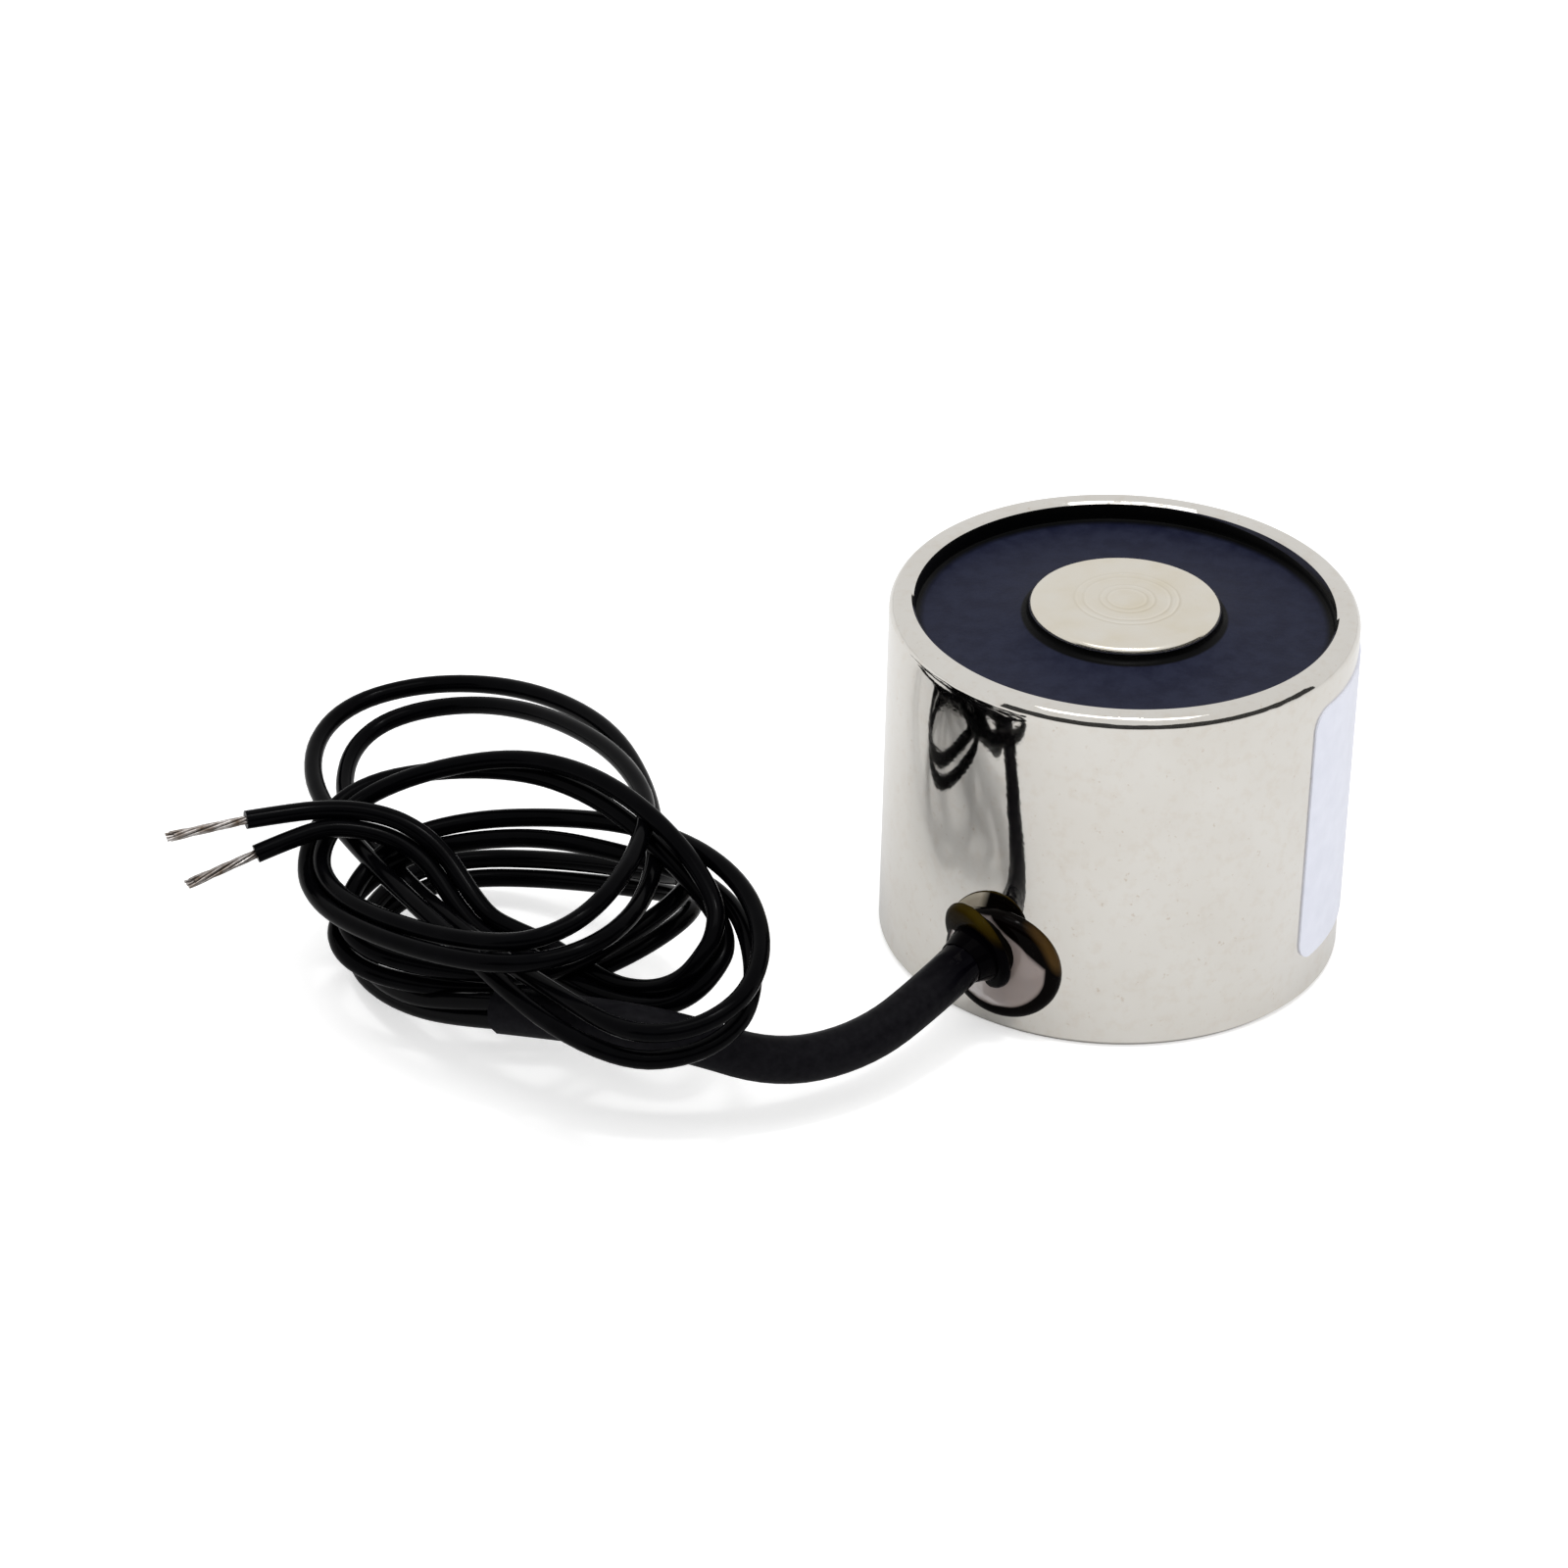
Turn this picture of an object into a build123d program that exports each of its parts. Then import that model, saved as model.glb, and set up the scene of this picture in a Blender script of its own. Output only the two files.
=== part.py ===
from build123d import *
from math import cos, degrees, radians, sin, tan
import os

# Round holding electromagnet that stands on its rear face, with its working face up.
# Millimetres. The origin is the middle of the rear face and +Z points at the working face.
# Angles round the shell run from the front (-Y) towards the left (-X).

# Pot shell
shell_diameter = 25.0
shell_height = 20.0
shell_wall = 1.3
shell_floor = 3.0
rim_bevel = 0.15
base_bevel = 0.3

# Pole core, a share of the shell's width. Its face is flush with the rim, and its tail
# is pressed through the floor
core_share = 0.408
core_bevel = 0.25
tail_diameter = 7.2
thread_hole_diameter = 3.3
thread_depth = 6.0
thread_mouth_bevel = 0.35
drill_point_angle = 118.0

# Bobbin, winding and tape
bobbin_bore_clearance = 0.1
bobbin_hub_wall = 0.6
bobbin_flange = 0.7
bobbin_edge_clearance = 0.15
tape_thickness = 0.15
lead_space = 2.25

# Potting resin over the bobbin
potting_recess = 1.1
potting_thickness = 1.6

# Side exit of the leads. The bush's flange leans over to the left and down on the shell, and
# its neck is buried a little way in the flange
exit_angle = 29.5
exit_height = 5.4
exit_hole_diameter = 3.6
bush_clearance = 0.05
flange_lean_sideways = 14.0
flange_lean_down = 14.0
flange_radius = 2.45
flange_stand_off = 0.85
flange_edge_radius = 0.35
neck_buried = 0.3
neck_length = 1.1
neck_root_radius = 2.0
neck_tip_radius = 1.55

# Drop of sealing resin on the shell round the bush
drop_angle = 27.2
drop_height = 4.45
drop_radius = 3.8
drop_thickness = 0.6
drop_edge_radius = 0.5

# Side label
label_start_angle = 55.0
label_arc_length = 26.0
label_bottom = 2.55
label_top = 17.95
label_corner_radius = 1.2
label_thickness = 0.1

# Splices and inner leads, in the space between the tape and the shell
lead_diameter = 1.0
splice_diameter = 1.4
splice_angle = 24.0
splice_top_clearance = 2.2
splice_above_exit = 4.0
inner_clearance = 0.05
inner_bend_radius = 1.0

# Free lead: the sleeve, the coiled stretch and the two uncoiled ends
sleeve_diameter = 2.5
sleeve_clearance = 0.05
conductor_diameter = 0.5
coil_centre = (-30.3, -10.8, 7.8)
coil_yaw = -54.0
coil_back_tilt = 24.0
coil_length = 40.4
coil_width = 20.6
coil_end_width = 13.7
coil_side_width = 7.8
coil_thickness = 8.0
coil_edge_radius = 3.2
sleeve_exit_run = 1.9
sleeve_route = [
    (-8.8, -14.9, 4.5),
    (-12.0, -18.7, 3.4),
    (-16.4, -21.5, 3.6),
    (-21.2, -22.9, 6.0),
    (-26.0, -22.6, 6.5),
    (-30.8, -20.0, 5.0),
]
lead_a_route = [(-37.9, -9.2, 9.7), (-41.7, -9.0, 9.8), (-45.6, -10.5, 9.8)]
lead_b_route = [(-38.2, -10.1, 9.2), (-41.5, -9.8, 9.1), (-44.9, -11.4, 8.1)]
conductor_a_tip = (-49.6, -12.2, 9.4)
conductor_b_tip = (-48.2, -14.2, 7.8)

shell_radius = shell_diameter / 2
bore_radius = shell_radius - shell_wall
core_radius = shell_radius * core_share
thread_hole_radius = thread_hole_diameter / 2
potting_top = shell_height - potting_recess
bobbin_top = potting_top - potting_thickness
hub_radius = core_radius + bobbin_bore_clearance + bobbin_hub_wall
tape_radius = bore_radius - lead_space
winding_radius = tape_radius - tape_thickness
winding_bottom = shell_floor + bobbin_flange
winding_top = bobbin_top - bobbin_flange
sleeve_radius = sleeve_diameter / 2
splice_offset = tape_radius + inner_clearance + splice_diameter / 2
splice_bottom = exit_height + splice_above_exit
splice_length = winding_top - splice_top_clearance - splice_bottom


def outward(angle):
    """Unit vector out of the shell, at an angle from the front towards the left."""
    return Vector(-sin(radians(angle)), -cos(radians(angle)), 0)


def radial_plane(angle, radius, height):
    """Plane across the outward direction, at a distance from the axis."""
    direction = outward(angle)
    return Plane(origin=direction * radius + Vector(0, 0, height), x_dir=(0, 0, 1), z_dir=direction)


def radial_cylinder(angle, height, radius, start, end):
    """Round bar along the outward direction, from one distance to another."""
    bar = Cylinder(radius, end - start, align=(Align.CENTER, Align.CENTER, Align.MIN))
    return radial_plane(angle, start, height) * bar


def turned_arc(angle, *corners):
    """Solid swept about Z through an angle, from the (radius, height) corners of its section."""
    return revolve(Plane.XZ * make_face(Polyline(*corners, close=True)), Axis.Z, revolution_arc=angle)


def turned(*corners):
    """Solid of revolution about Z, from the (radius, height) corners of its half section."""
    return turned_arc(360, *corners)


def make_pot_shell():
    """Turned steel cup with a hole for the core's tail and one hole in its side."""
    cup = turned(
        (tail_diameter / 2, 0),
        (shell_radius - base_bevel, 0),
        (shell_radius, base_bevel),
        (shell_radius, shell_height - rim_bevel),
        (shell_radius - rim_bevel, shell_height),
        (bore_radius, shell_height),
        (bore_radius, shell_floor),
        (tail_diameter / 2, shell_floor),
    )
    exit_hole = radial_cylinder(
        exit_angle, exit_height, exit_hole_diameter / 2, bore_radius / 2, shell_radius * 2
    )
    return cup - exit_hole


def make_pole_core():
    """Turned steel pin: round pole, stepped tail and a tapped blind hole from the rear."""
    drill_point = thread_hole_radius / tan(radians(drill_point_angle / 2))
    return turned(
        (thread_hole_radius + thread_mouth_bevel, 0),
        (tail_diameter / 2, 0),
        (tail_diameter / 2, shell_floor),
        (core_radius, shell_floor),
        (core_radius, shell_height - core_bevel),
        (core_radius - core_bevel, shell_height),
        (0, shell_height),
        (0, thread_depth + drill_point),
        (thread_hole_radius, thread_depth),
        (thread_hole_radius, thread_mouth_bevel),
    )


def make_bobbin():
    """Moulded spool that slides over the core and stands on the shell's floor."""
    bore = core_radius + bobbin_bore_clearance
    edge = bore_radius - bobbin_edge_clearance
    return turned(
        (bore, shell_floor),
        (edge, shell_floor),
        (edge, winding_bottom),
        (hub_radius, winding_bottom),
        (hub_radius, winding_top),
        (edge, winding_top),
        (edge, bobbin_top),
        (bore, bobbin_top),
    )


def make_ring(inner, outer, bottom, top):
    """Plain round ring about Z."""
    return turned((inner, bottom), (outer, bottom), (outer, top), (inner, top))


def make_bush_blank():
    """Leaning flange and tapered neck of the bush, without a bore, reaching back into the shell."""
    face_centre = outward(exit_angle) * (shell_radius + flange_stand_off) + Vector(0, 0, exit_height)
    facing = outward(exit_angle + flange_lean_sideways) * cos(radians(flange_lean_down))
    facing -= Vector(0, 0, sin(radians(flange_lean_down)))
    disc = Cylinder(flange_radius, 2 * flange_radius, align=(Align.CENTER, Align.CENTER, Align.MAX))
    disc = fillet(disc.edges().sort_by(Axis.Z)[-1], flange_edge_radius)
    route = make_sleeve_route()
    leaving = (route[2] - route[1]).normalized()
    neck = Cone(
        neck_root_radius, neck_tip_radius, neck_length, align=(Align.CENTER, Align.CENTER, Align.MIN)
    )
    neck = Plane(origin=face_centre - leaving * neck_buried, z_dir=leaving) * neck
    return Plane(origin=face_centre, z_dir=facing) * disc + neck


def make_exit_bush():
    """Bush in the side hole: barrel, leaning flange seated on the shell, and a tapered neck."""
    barrel = radial_cylinder(
        exit_angle, exit_height, exit_hole_diameter / 2 - bush_clearance, bore_radius, shell_radius
    )
    flange_and_neck = make_bush_blank() - Cylinder(shell_radius, 2 * shell_height)
    route = make_sleeve_route()
    bore_route = [route[0] - outward(exit_angle) * shell_wall] + route[1:]
    bore_diameter = sleeve_diameter + 2 * sleeve_clearance
    return barrel + flange_and_neck - tube(bore_route, bore_diameter, corner_radii(route))


def make_sealing_resin():
    """Drop of glue that lies on the shell round the bush, with a rounded edge."""
    drop = radial_cylinder(drop_angle, drop_height, drop_radius, shell_radius / 2, shell_radius * 2)
    drop &= Cylinder(shell_radius + drop_thickness, 2 * shell_height)
    rim = drop.edges().sort_by(Axis((0, 0, 0), outward(drop_angle)))[-1]
    drop = fillet(rim, drop_edge_radius)
    drop -= Cylinder(shell_radius, 2 * shell_height)
    return drop - make_bush_blank()


def make_side_label():
    """Thin film round the right side, with rounded corners."""
    film = turned_arc(
        degrees(label_arc_length / shell_radius),
        (shell_radius, label_bottom),
        (shell_radius + label_thickness, label_bottom),
        (shell_radius + label_thickness, label_top),
        (shell_radius, label_top),
    )
    corners = film.edges().filter_by(lambda edge: edge.length < 2 * label_thickness)
    film = fillet(corners, label_corner_radius)
    return Rot(0, 0, label_start_angle - 90) * film


def make_splice(side):
    """Insulated splice that stands against the tape, on one side of the exit."""
    place = outward(exit_angle + side * splice_angle) * splice_offset
    splice = Cylinder(splice_diameter / 2, splice_length, align=(Align.CENTER, Align.CENTER, Align.MIN))
    return Pos(place.X, place.Y, splice_bottom) * splice


def make_inner_lead(side):
    """Lead from its splice down to the exit, where it meets the sleeve's inner end."""
    above_exit = outward(exit_angle + side * splice_angle) * splice_offset
    across = outward(exit_angle + side * 90) * (lead_diameter / 2 + inner_clearance)
    inside_exit = outward(exit_angle) * splice_offset + across
    at_sleeve = outward(exit_angle) * bore_radius + across
    route = [
        above_exit + Vector(0, 0, splice_bottom),
        above_exit + Vector(0, 0, exit_height),
        inside_exit + Vector(0, 0, exit_height),
        at_sleeve + Vector(0, 0, exit_height),
    ]
    return tube(route, lead_diameter, [inner_bend_radius, inner_bend_radius])


def corner_radii(route):
    """Radius at each inner point of a route, as large as its two runs allow."""
    radii = []
    for before, corner, after in zip(route, route[1:], route[2:]):
        run_in = corner - before
        run_out = after - corner
        half_turn = radians(run_in.get_angle(run_out)) / 2
        radii.append(0.45 * min(run_in.length, run_out.length) / tan(half_turn))
    return radii


def tube(route, diameter, radii):
    """Round bar along straight runs joined by tangent arcs."""
    path = FilletPolyline(*route, radius=radii)
    section = Plane(origin=path @ 0, z_dir=path % 0) * Circle(diameter / 2)
    bar = sweep(section, path=path)
    print("tube", diameter, "length", round(path.length, 2), "radii", [round(r, 1) for r in radii])
    print("volume over section x length", round(bar.volume / (section.area * path.length), 4))
    return bar


def make_lead_coil():
    """Outer shape of the coiled stretch: an oval hank that leans back from the sleeve."""
    outline = Ellipse(coil_length / 2, coil_width / 2)
    outline -= Ellipse(coil_length / 2 - coil_end_width, coil_width / 2 - coil_side_width)
    hank = extrude(outline, coil_thickness / 2, both=True)
    hank = fillet(hank.edges(), coil_edge_radius)
    return Pos(*coil_centre) * Rot(0, 0, coil_yaw) * Rot(coil_back_tilt, 0, 0) * hank


def make_sleeve_route():
    """Corners of the sleeve's path, from the shell's bore out through the bush to the coil."""
    start = outward(exit_angle) * bore_radius + Vector(0, 0, exit_height)
    first_corner = start + outward(exit_angle) * sleeve_exit_run
    return [start, first_corner] + [Vector(*point) for point in sleeve_route]


def make_lead_sleeve(lead_coil):
    """Sleeve from the shell's bore, out through the bush and on to the coiled stretch."""
    route = make_sleeve_route()
    return tube(route, sleeve_diameter, corner_radii(route)) - lead_coil


def make_lead_end(points, lead_coil):
    """Uncoiled end of one lead, from the coiled stretch to where it is stripped."""
    route = [Vector(*point) for point in points]
    return tube(route, lead_diameter, corner_radii(route)) - lead_coil


def make_conductor(points, tip):
    """Bare tinned strands, straight on from the end of the insulation."""
    start = Vector(*points[-1])
    run = Vector(*tip) - start
    strands = Cylinder(conductor_diameter / 2, run.length, align=(Align.CENTER, Align.CENTER, Align.MIN))
    return Plane(origin=start, z_dir=run) * strands


def build():
    parts = {}
    parts["pot_shell"] = make_pot_shell()
    parts["pole_core"] = make_pole_core()
    parts["coil_bobbin"] = make_bobbin()
    parts["coil_winding"] = make_ring(hub_radius, winding_radius, winding_bottom, winding_top)
    parts["winding_tape"] = make_ring(winding_radius, tape_radius, winding_bottom, winding_top)
    parts["potting_resin"] = make_ring(core_radius, bore_radius, bobbin_top, potting_top)
    parts["splice_a"] = make_splice(1)
    parts["splice_b"] = make_splice(-1)
    parts["inner_lead_a"] = make_inner_lead(1)
    parts["inner_lead_b"] = make_inner_lead(-1)
    parts["exit_bush"] = make_exit_bush()
    parts["sealing_resin"] = make_sealing_resin()
    parts["side_label"] = make_side_label()
    lead_coil = make_lead_coil()
    parts["lead_coil"] = lead_coil
    parts["lead_sleeve"] = make_lead_sleeve(lead_coil)
    parts["lead_a_end"] = make_lead_end(lead_a_route, lead_coil)
    parts["lead_b_end"] = make_lead_end(lead_b_route, lead_coil)
    parts["conductor_a"] = make_conductor(lead_a_route, conductor_a_tip)
    parts["conductor_b"] = make_conductor(lead_b_route, conductor_b_tip)
    return parts


os.makedirs("parts", exist_ok=True)
for name, solid in build().items():
    export_step(solid, f"parts/{name}.step")
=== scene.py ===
import math

import bmesh
import bpy
from mathutils import Matrix, Vector


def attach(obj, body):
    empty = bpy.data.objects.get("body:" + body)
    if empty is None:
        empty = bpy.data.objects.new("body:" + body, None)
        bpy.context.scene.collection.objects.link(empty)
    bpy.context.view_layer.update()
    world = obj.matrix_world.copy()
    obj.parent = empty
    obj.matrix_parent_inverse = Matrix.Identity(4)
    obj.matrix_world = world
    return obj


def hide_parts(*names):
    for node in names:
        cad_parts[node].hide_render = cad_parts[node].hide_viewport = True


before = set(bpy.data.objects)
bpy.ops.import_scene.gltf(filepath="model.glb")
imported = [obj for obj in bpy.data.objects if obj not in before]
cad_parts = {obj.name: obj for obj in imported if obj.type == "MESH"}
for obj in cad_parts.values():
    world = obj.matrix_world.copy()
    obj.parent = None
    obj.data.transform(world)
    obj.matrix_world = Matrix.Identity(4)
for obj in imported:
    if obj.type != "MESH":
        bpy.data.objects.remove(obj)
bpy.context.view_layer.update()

scene = bpy.context.scene
scene.view_settings.view_transform = "Standard"
MM = 0.001


# Camera
# A long lens looks down at the magnet by 31 degrees, from in front and a little to the right.
# The place, turn and lens were fitted to the edges of the shell in the photograph.
camera_data = bpy.data.cameras.new("camera")
camera_data.sensor_width = 36
camera_data.lens = 127.207
camera = bpy.data.objects.new("camera", camera_data)
camera_right = Vector((0.99655696, 0.08072826, 0.01889889))
camera_up = Vector((-0.05775564, 0.51238576, 0.85681102))
camera_forward = Vector((-0.05948534, 0.8549525, -0.51528411))
camera_turn = Matrix((camera_right, camera_up, -camera_forward)).transposed().to_4x4()
camera.matrix_world = Matrix.Translation((0, -0.25714, 0.162519)) @ camera_turn
scene.collection.objects.link(camera)
scene.camera = camera


# Pot shell
# A turned steel cup, 25 mm across and 20 mm high, polished and nickel plated. Its rim is broken
# by a soft bevel and its base by a small one, and one hole low in its side lets the leads out.
def add_node(tree, kind, inputs=None, **settings):
    """Adds a shader node, with its sockets set to values or linked to other sockets."""
    node = tree.nodes.new(kind)
    for name, value in settings.items():
        setattr(node, name, value)
    for name, value in (inputs or {}).items():
        if isinstance(value, bpy.types.NodeSocket):
            tree.links.new(value, node.inputs[name])
        else:
            node.inputs[name].default_value = value
    return node


def new_finish(name, **sockets):
    """A material with one Principled shader, whose plain values are set on its own sockets."""
    finish = bpy.data.materials.new(name)
    finish.use_nodes = True
    shader = finish.node_tree.nodes["Principled BSDF"]
    for socket, value in sockets.items():
        shader.inputs[socket.replace("_", " ")].default_value = value
    place = add_node(finish.node_tree, "ShaderNodeTexCoord").outputs["Object"]
    return finish, finish.node_tree, shader, place


def add_noise(tree, place, scale, detail=3, roughness=0.5):
    """Noise from 0 to 1, with its scale in waves per metre."""
    inputs = {"Vector": place, "Scale": scale, "Detail": detail, "Roughness": roughness}
    return add_node(tree, "ShaderNodeTexNoise", inputs).outputs["Fac"]


def add_ramp(tree, factor, *stops):
    """Colour ramp from (position, colour) stops, where a colour may be one grey number."""
    node = add_node(tree, "ShaderNodeValToRGB", {"Fac": factor})
    ramp = node.color_ramp
    while len(ramp.elements) < len(stops):
        ramp.elements.new(1.0)
    for element, (position, colour) in zip(ramp.elements, stops):
        element.position = position
        grey = isinstance(colour, (int, float))
        element.color = (colour, colour, colour, 1) if grey else (*colour, 1)
    return node.outputs["Color"]


def add_math(tree, operation, *values):
    """Result of a Math node on values or sockets."""
    node = add_node(tree, "ShaderNodeMath", dict(enumerate(values)), operation=operation)
    return node.outputs["Value"]


def add_share(tree, value, start, end):
    """How far a value has gone from a start to an end, from 0 to 1."""
    inputs = {"Value": value, "From Min": start, "From Max": end}
    return add_node(tree, "ShaderNodeMapRange", inputs).outputs["Result"]


def add_blend(tree, factor, first, second, blend_type="MIX"):
    """Blend of two colours."""
    inputs = {"Factor": factor, 6: first, 7: second}
    node = add_node(tree, "ShaderNodeMix", inputs, data_type="RGBA", blend_type=blend_type)
    return node.outputs[2]


def add_bump(tree, shader, height, strength, distance):
    """Bump on the shader from a height, with its depth in metres."""
    inputs = {"Height": height, "Strength": strength, "Distance": distance}
    bump = add_node(tree, "ShaderNodeBump", inputs)
    tree.links.new(bump.outputs["Normal"], shader.inputs["Normal"])


def turn_mesh(corners, steps):
    """A closed mesh turned about Z, from its half section's (radius, height) in millimetres."""
    mesh = bmesh.new()
    section = [mesh.verts.new((radius * MM, 0, height * MM)) for radius, height in corners]
    edges = [mesh.edges.new(pair) for pair in zip(section, section[1:] + section[:1])]
    bmesh.ops.spin(
        mesh, geom=section + edges, axis=(0, 0, 1), cent=(0, 0, 0),
        angle=2 * math.pi, steps=steps, use_merge=True, use_duplicate=False,
    )
    bmesh.ops.remove_doubles(mesh, verts=mesh.verts, dist=1e-7)
    bmesh.ops.recalc_face_normals(mesh, faces=mesh.faces)
    return mesh


def point_along(mesh, start, direction):
    """Moves a mesh that stands on Z so that it starts at a point and runs along a direction."""
    turn = direction.to_track_quat("Z", "Y").to_matrix().to_4x4()
    bmesh.ops.transform(mesh, matrix=Matrix.Translation(start) @ turn, verts=mesh.verts)


def cut_away(blank_mesh, drill_mesh):
    """The blank with the closed shape of the drill cut out of it."""
    pieces = []
    for name, mesh in (("blank", blank_mesh), ("drill", drill_mesh)):
        data = bpy.data.meshes.new(name)
        mesh.to_mesh(data)
        mesh.free()
        pieces.append(bpy.data.objects.new(name, data))
        scene.collection.objects.link(pieces[-1])
    blank, drill = pieces
    cut = blank.modifiers.new("cut", "BOOLEAN")
    cut.object = drill
    cut.solver = "EXACT"
    result = bmesh.new()
    result.from_object(blank, bpy.context.evaluated_depsgraph_get())
    for piece in pieces:
        bpy.data.meshes.remove(piece.data)
    return result


def finish_piece(name, mesh, finish, sharp=35):
    """Makes the object of a finished mesh, smooth but for edges sharper than an angle."""
    for face in mesh.faces:
        face.smooth = True
    for edge in mesh.edges:
        if len(edge.link_faces) == 2 and edge.calc_face_angle() > math.radians(sharp):
            edge.smooth = False
    data = bpy.data.meshes.new(name)
    mesh.to_mesh(data)
    mesh.free()
    piece = bpy.data.objects.new(name, data)
    scene.collection.objects.link(piece)
    data.materials.append(finish)
    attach(piece, "root")
    return piece


def outward(angle):
    """Unit vector out of the shell, at an angle from the front towards the left."""
    return Vector((-math.sin(math.radians(angle)), -math.cos(math.radians(angle)), 0))


nickel, tree, shader, place = new_finish("nickel plate", Metallic=1.0)
clouds = add_noise(tree, place, 180, detail=3)
mottle = add_noise(tree, place, 1500, detail=3, roughness=0.6)
specks = add_noise(tree, place, 2600, detail=2, roughness=0.7)
cloud_colour = add_ramp(
    tree, clouds, (0.35, (0.705, 0.678, 0.630)), (0.65, (0.735, 0.714, 0.672))
)
mottle_colour = add_ramp(
    tree, mottle, (0.3, (0.965, 0.945, 0.925)), (0.5, (1, 1, 1)), (0.75, (1, 1, 1))
)
speck_colour = add_ramp(tree, specks, (0.24, (0.86, 0.80, 0.75)), (0.33, (1, 1, 1)))
mottled = add_blend(tree, 1.0, cloud_colour, mottle_colour, "MULTIPLY")
tree.links.new(
    add_blend(tree, 1.0, mottled, speck_colour, "MULTIPLY"), shader.inputs["Base Color"]
)
tree.links.new(add_ramp(tree, clouds, (0.3, 0.06), (0.75, 0.035)), shader.inputs["Roughness"])
ripple = add_noise(tree, place, 260, detail=3, roughness=0.55)
grain = add_noise(tree, place, 4000, detail=1)
waves = add_noise(tree, place, 900, detail=1)
above_base = add_node(tree, "ShaderNodeSeparateXYZ", {"Vector": place}).outputs["Z"]
near_rim = add_share(tree, above_base, 19.3 * MM, 19.6 * MM)
height = add_math(tree, "MULTIPLY_ADD", grain, 0.12, ripple)
height = add_math(
    tree, "MULTIPLY_ADD", add_math(tree, "MULTIPLY", waves, near_rim), 2.5, height
)
add_bump(tree, shader, height, 1.0, 0.010 * MM)

SHELL_RADIUS = 12.5
BORE_RADIUS = 11.2
TAIL_RADIUS = 3.6
FLOOR_TOP = 3.0
RIM_HEIGHT = 20.0
EXIT_ANGLE = 29.5
EXIT_HEIGHT = 5.4
EXIT_HOLE_RADIUS = 1.8
BASE_BEVEL = 0.3
WALL_LENGTH = 19.1
WALL_STEPS = 40

# Inset from the outside and depth below the rim, along the soft bevel
rim_bevel = [
    (0.0, 0.60), (0.008, 0.55), (0.023, 0.50), (0.042, 0.45), (0.063, 0.40), (0.086, 0.35),
    (0.111, 0.30), (0.147, 0.24), (0.205, 0.17), (0.27, 0.10), (0.34, 0.045), (0.42, 0.01),
    (0.47, 0.0),
]
shell_section = [(TAIL_RADIUS, 0), (SHELL_RADIUS - BASE_BEVEL, 0), (SHELL_RADIUS, BASE_BEVEL)]
shell_section += [
    (SHELL_RADIUS, BASE_BEVEL + WALL_LENGTH * step / WALL_STEPS) for step in range(1, WALL_STEPS)
]
shell_section += [(SHELL_RADIUS - inset, RIM_HEIGHT - depth) for inset, depth in rim_bevel]
shell_section += [
    (BORE_RADIUS + 0.12, RIM_HEIGHT),
    (BORE_RADIUS, RIM_HEIGHT - 0.12),
    (BORE_RADIUS, FLOOR_TOP),
    (TAIL_RADIUS, FLOOR_TOP),
]
exit_drill = turn_mesh([(0, 0), (EXIT_HOLE_RADIUS, 0), (EXIT_HOLE_RADIUS, 10), (0, 10)], 64)
point_along(
    exit_drill, (outward(EXIT_ANGLE) * 6 + Vector((0, 0, EXIT_HEIGHT))) * MM, outward(EXIT_ANGLE)
)
shell = finish_piece("shell", cut_away(turn_mesh(shell_section, 192), exit_drill), nickel)
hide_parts("pot_shell")


# Pole core
# A turned steel pin, nickel plated. Its face is flush with the rim and keeps a few soft rings
# of the turning tool, bumped and drawn with a painted highlight and painted shade, and its edge
# is chamfered. A tapped hole comes in from the rear.
def add_vector_math(tree, operation, *values):
    """Result of a Vector Math node on values or sockets: a vector, or the number it gives."""
    node = add_node(tree, "ShaderNodeVectorMath", dict(enumerate(values)), operation=operation)
    gives_number = operation in ("LENGTH", "DISTANCE", "DOT_PRODUCT")
    return node.outputs["Value" if gives_number else "Vector"]


CORE_RADIUS = 5.1
THREAD_RADIUS = 1.65
TOOL_RINGS = (1.04, 1.45, 2.3, 2.75)

core_nickel, tree, shader, place = new_finish("turned nickel", Metallic=1.0)
centred = add_node(
    tree,
    "ShaderNodeMapping",
    {"Vector": place, "Location": (-0.1 * MM, -0.35 * MM, 0), "Scale": (1, 1, 0)},
).outputs["Vector"]
from_centre = add_vector_math(tree, "LENGTH", centred)
wander = add_noise(tree, place, 500, detail=2)
wandering = add_math(tree, "MULTIPLY_ADD", wander, 0.25 * MM, from_centre)
# Each tool ring is painted as a lighter and a darker line, a painted highlight and painted
# shade; the same lines raise the bump
ring_stops = [(0.0, 0.6)]
for radius in TOOL_RINGS:
    ring_stops += [
        ((radius - 0.05) / CORE_RADIUS, 0.6),
        ((radius + 0.07) / CORE_RADIUS, 1.0),
        ((radius + 0.17) / CORE_RADIUS, 0.0),
        ((radius + 0.30) / CORE_RADIUS, 0.6),
    ]
rings = add_ramp(tree, add_share(tree, wandering, 0.0, CORE_RADIUS * MM), *ring_stops)
# The painted rings are stronger towards the lower right, as painted light falling from there
to_lower_right = add_vector_math(tree, "DOT_PRODUCT", centred, (0.5, -0.85, 0))
painted_light_lower_right = add_math(
    tree, "MULTIPLY_ADD", add_share(tree, to_lower_right, -1.5 * MM, 2.0 * MM), 0.75, 0.25
)
ring_painted_light_tone = add_blend(tree, painted_light_lower_right, (0.6, 0.6, 0.6, 1), rings)
ring_painted_highlight_and_shade = add_ramp(
    tree, ring_painted_light_tone, (0.0, (0.80, 0.78, 0.74)), (0.6, (0.93, 0.93, 0.93)), (1.0, (1, 1, 1))
)
stain = add_noise(tree, place, 330, detail=3)
stain_colour = add_ramp(
    tree, stain,
    (0.30, (0.775, 0.710, 0.575)), (0.50, (0.810, 0.760, 0.660)), (0.75, (0.825, 0.795, 0.725)),
)
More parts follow.
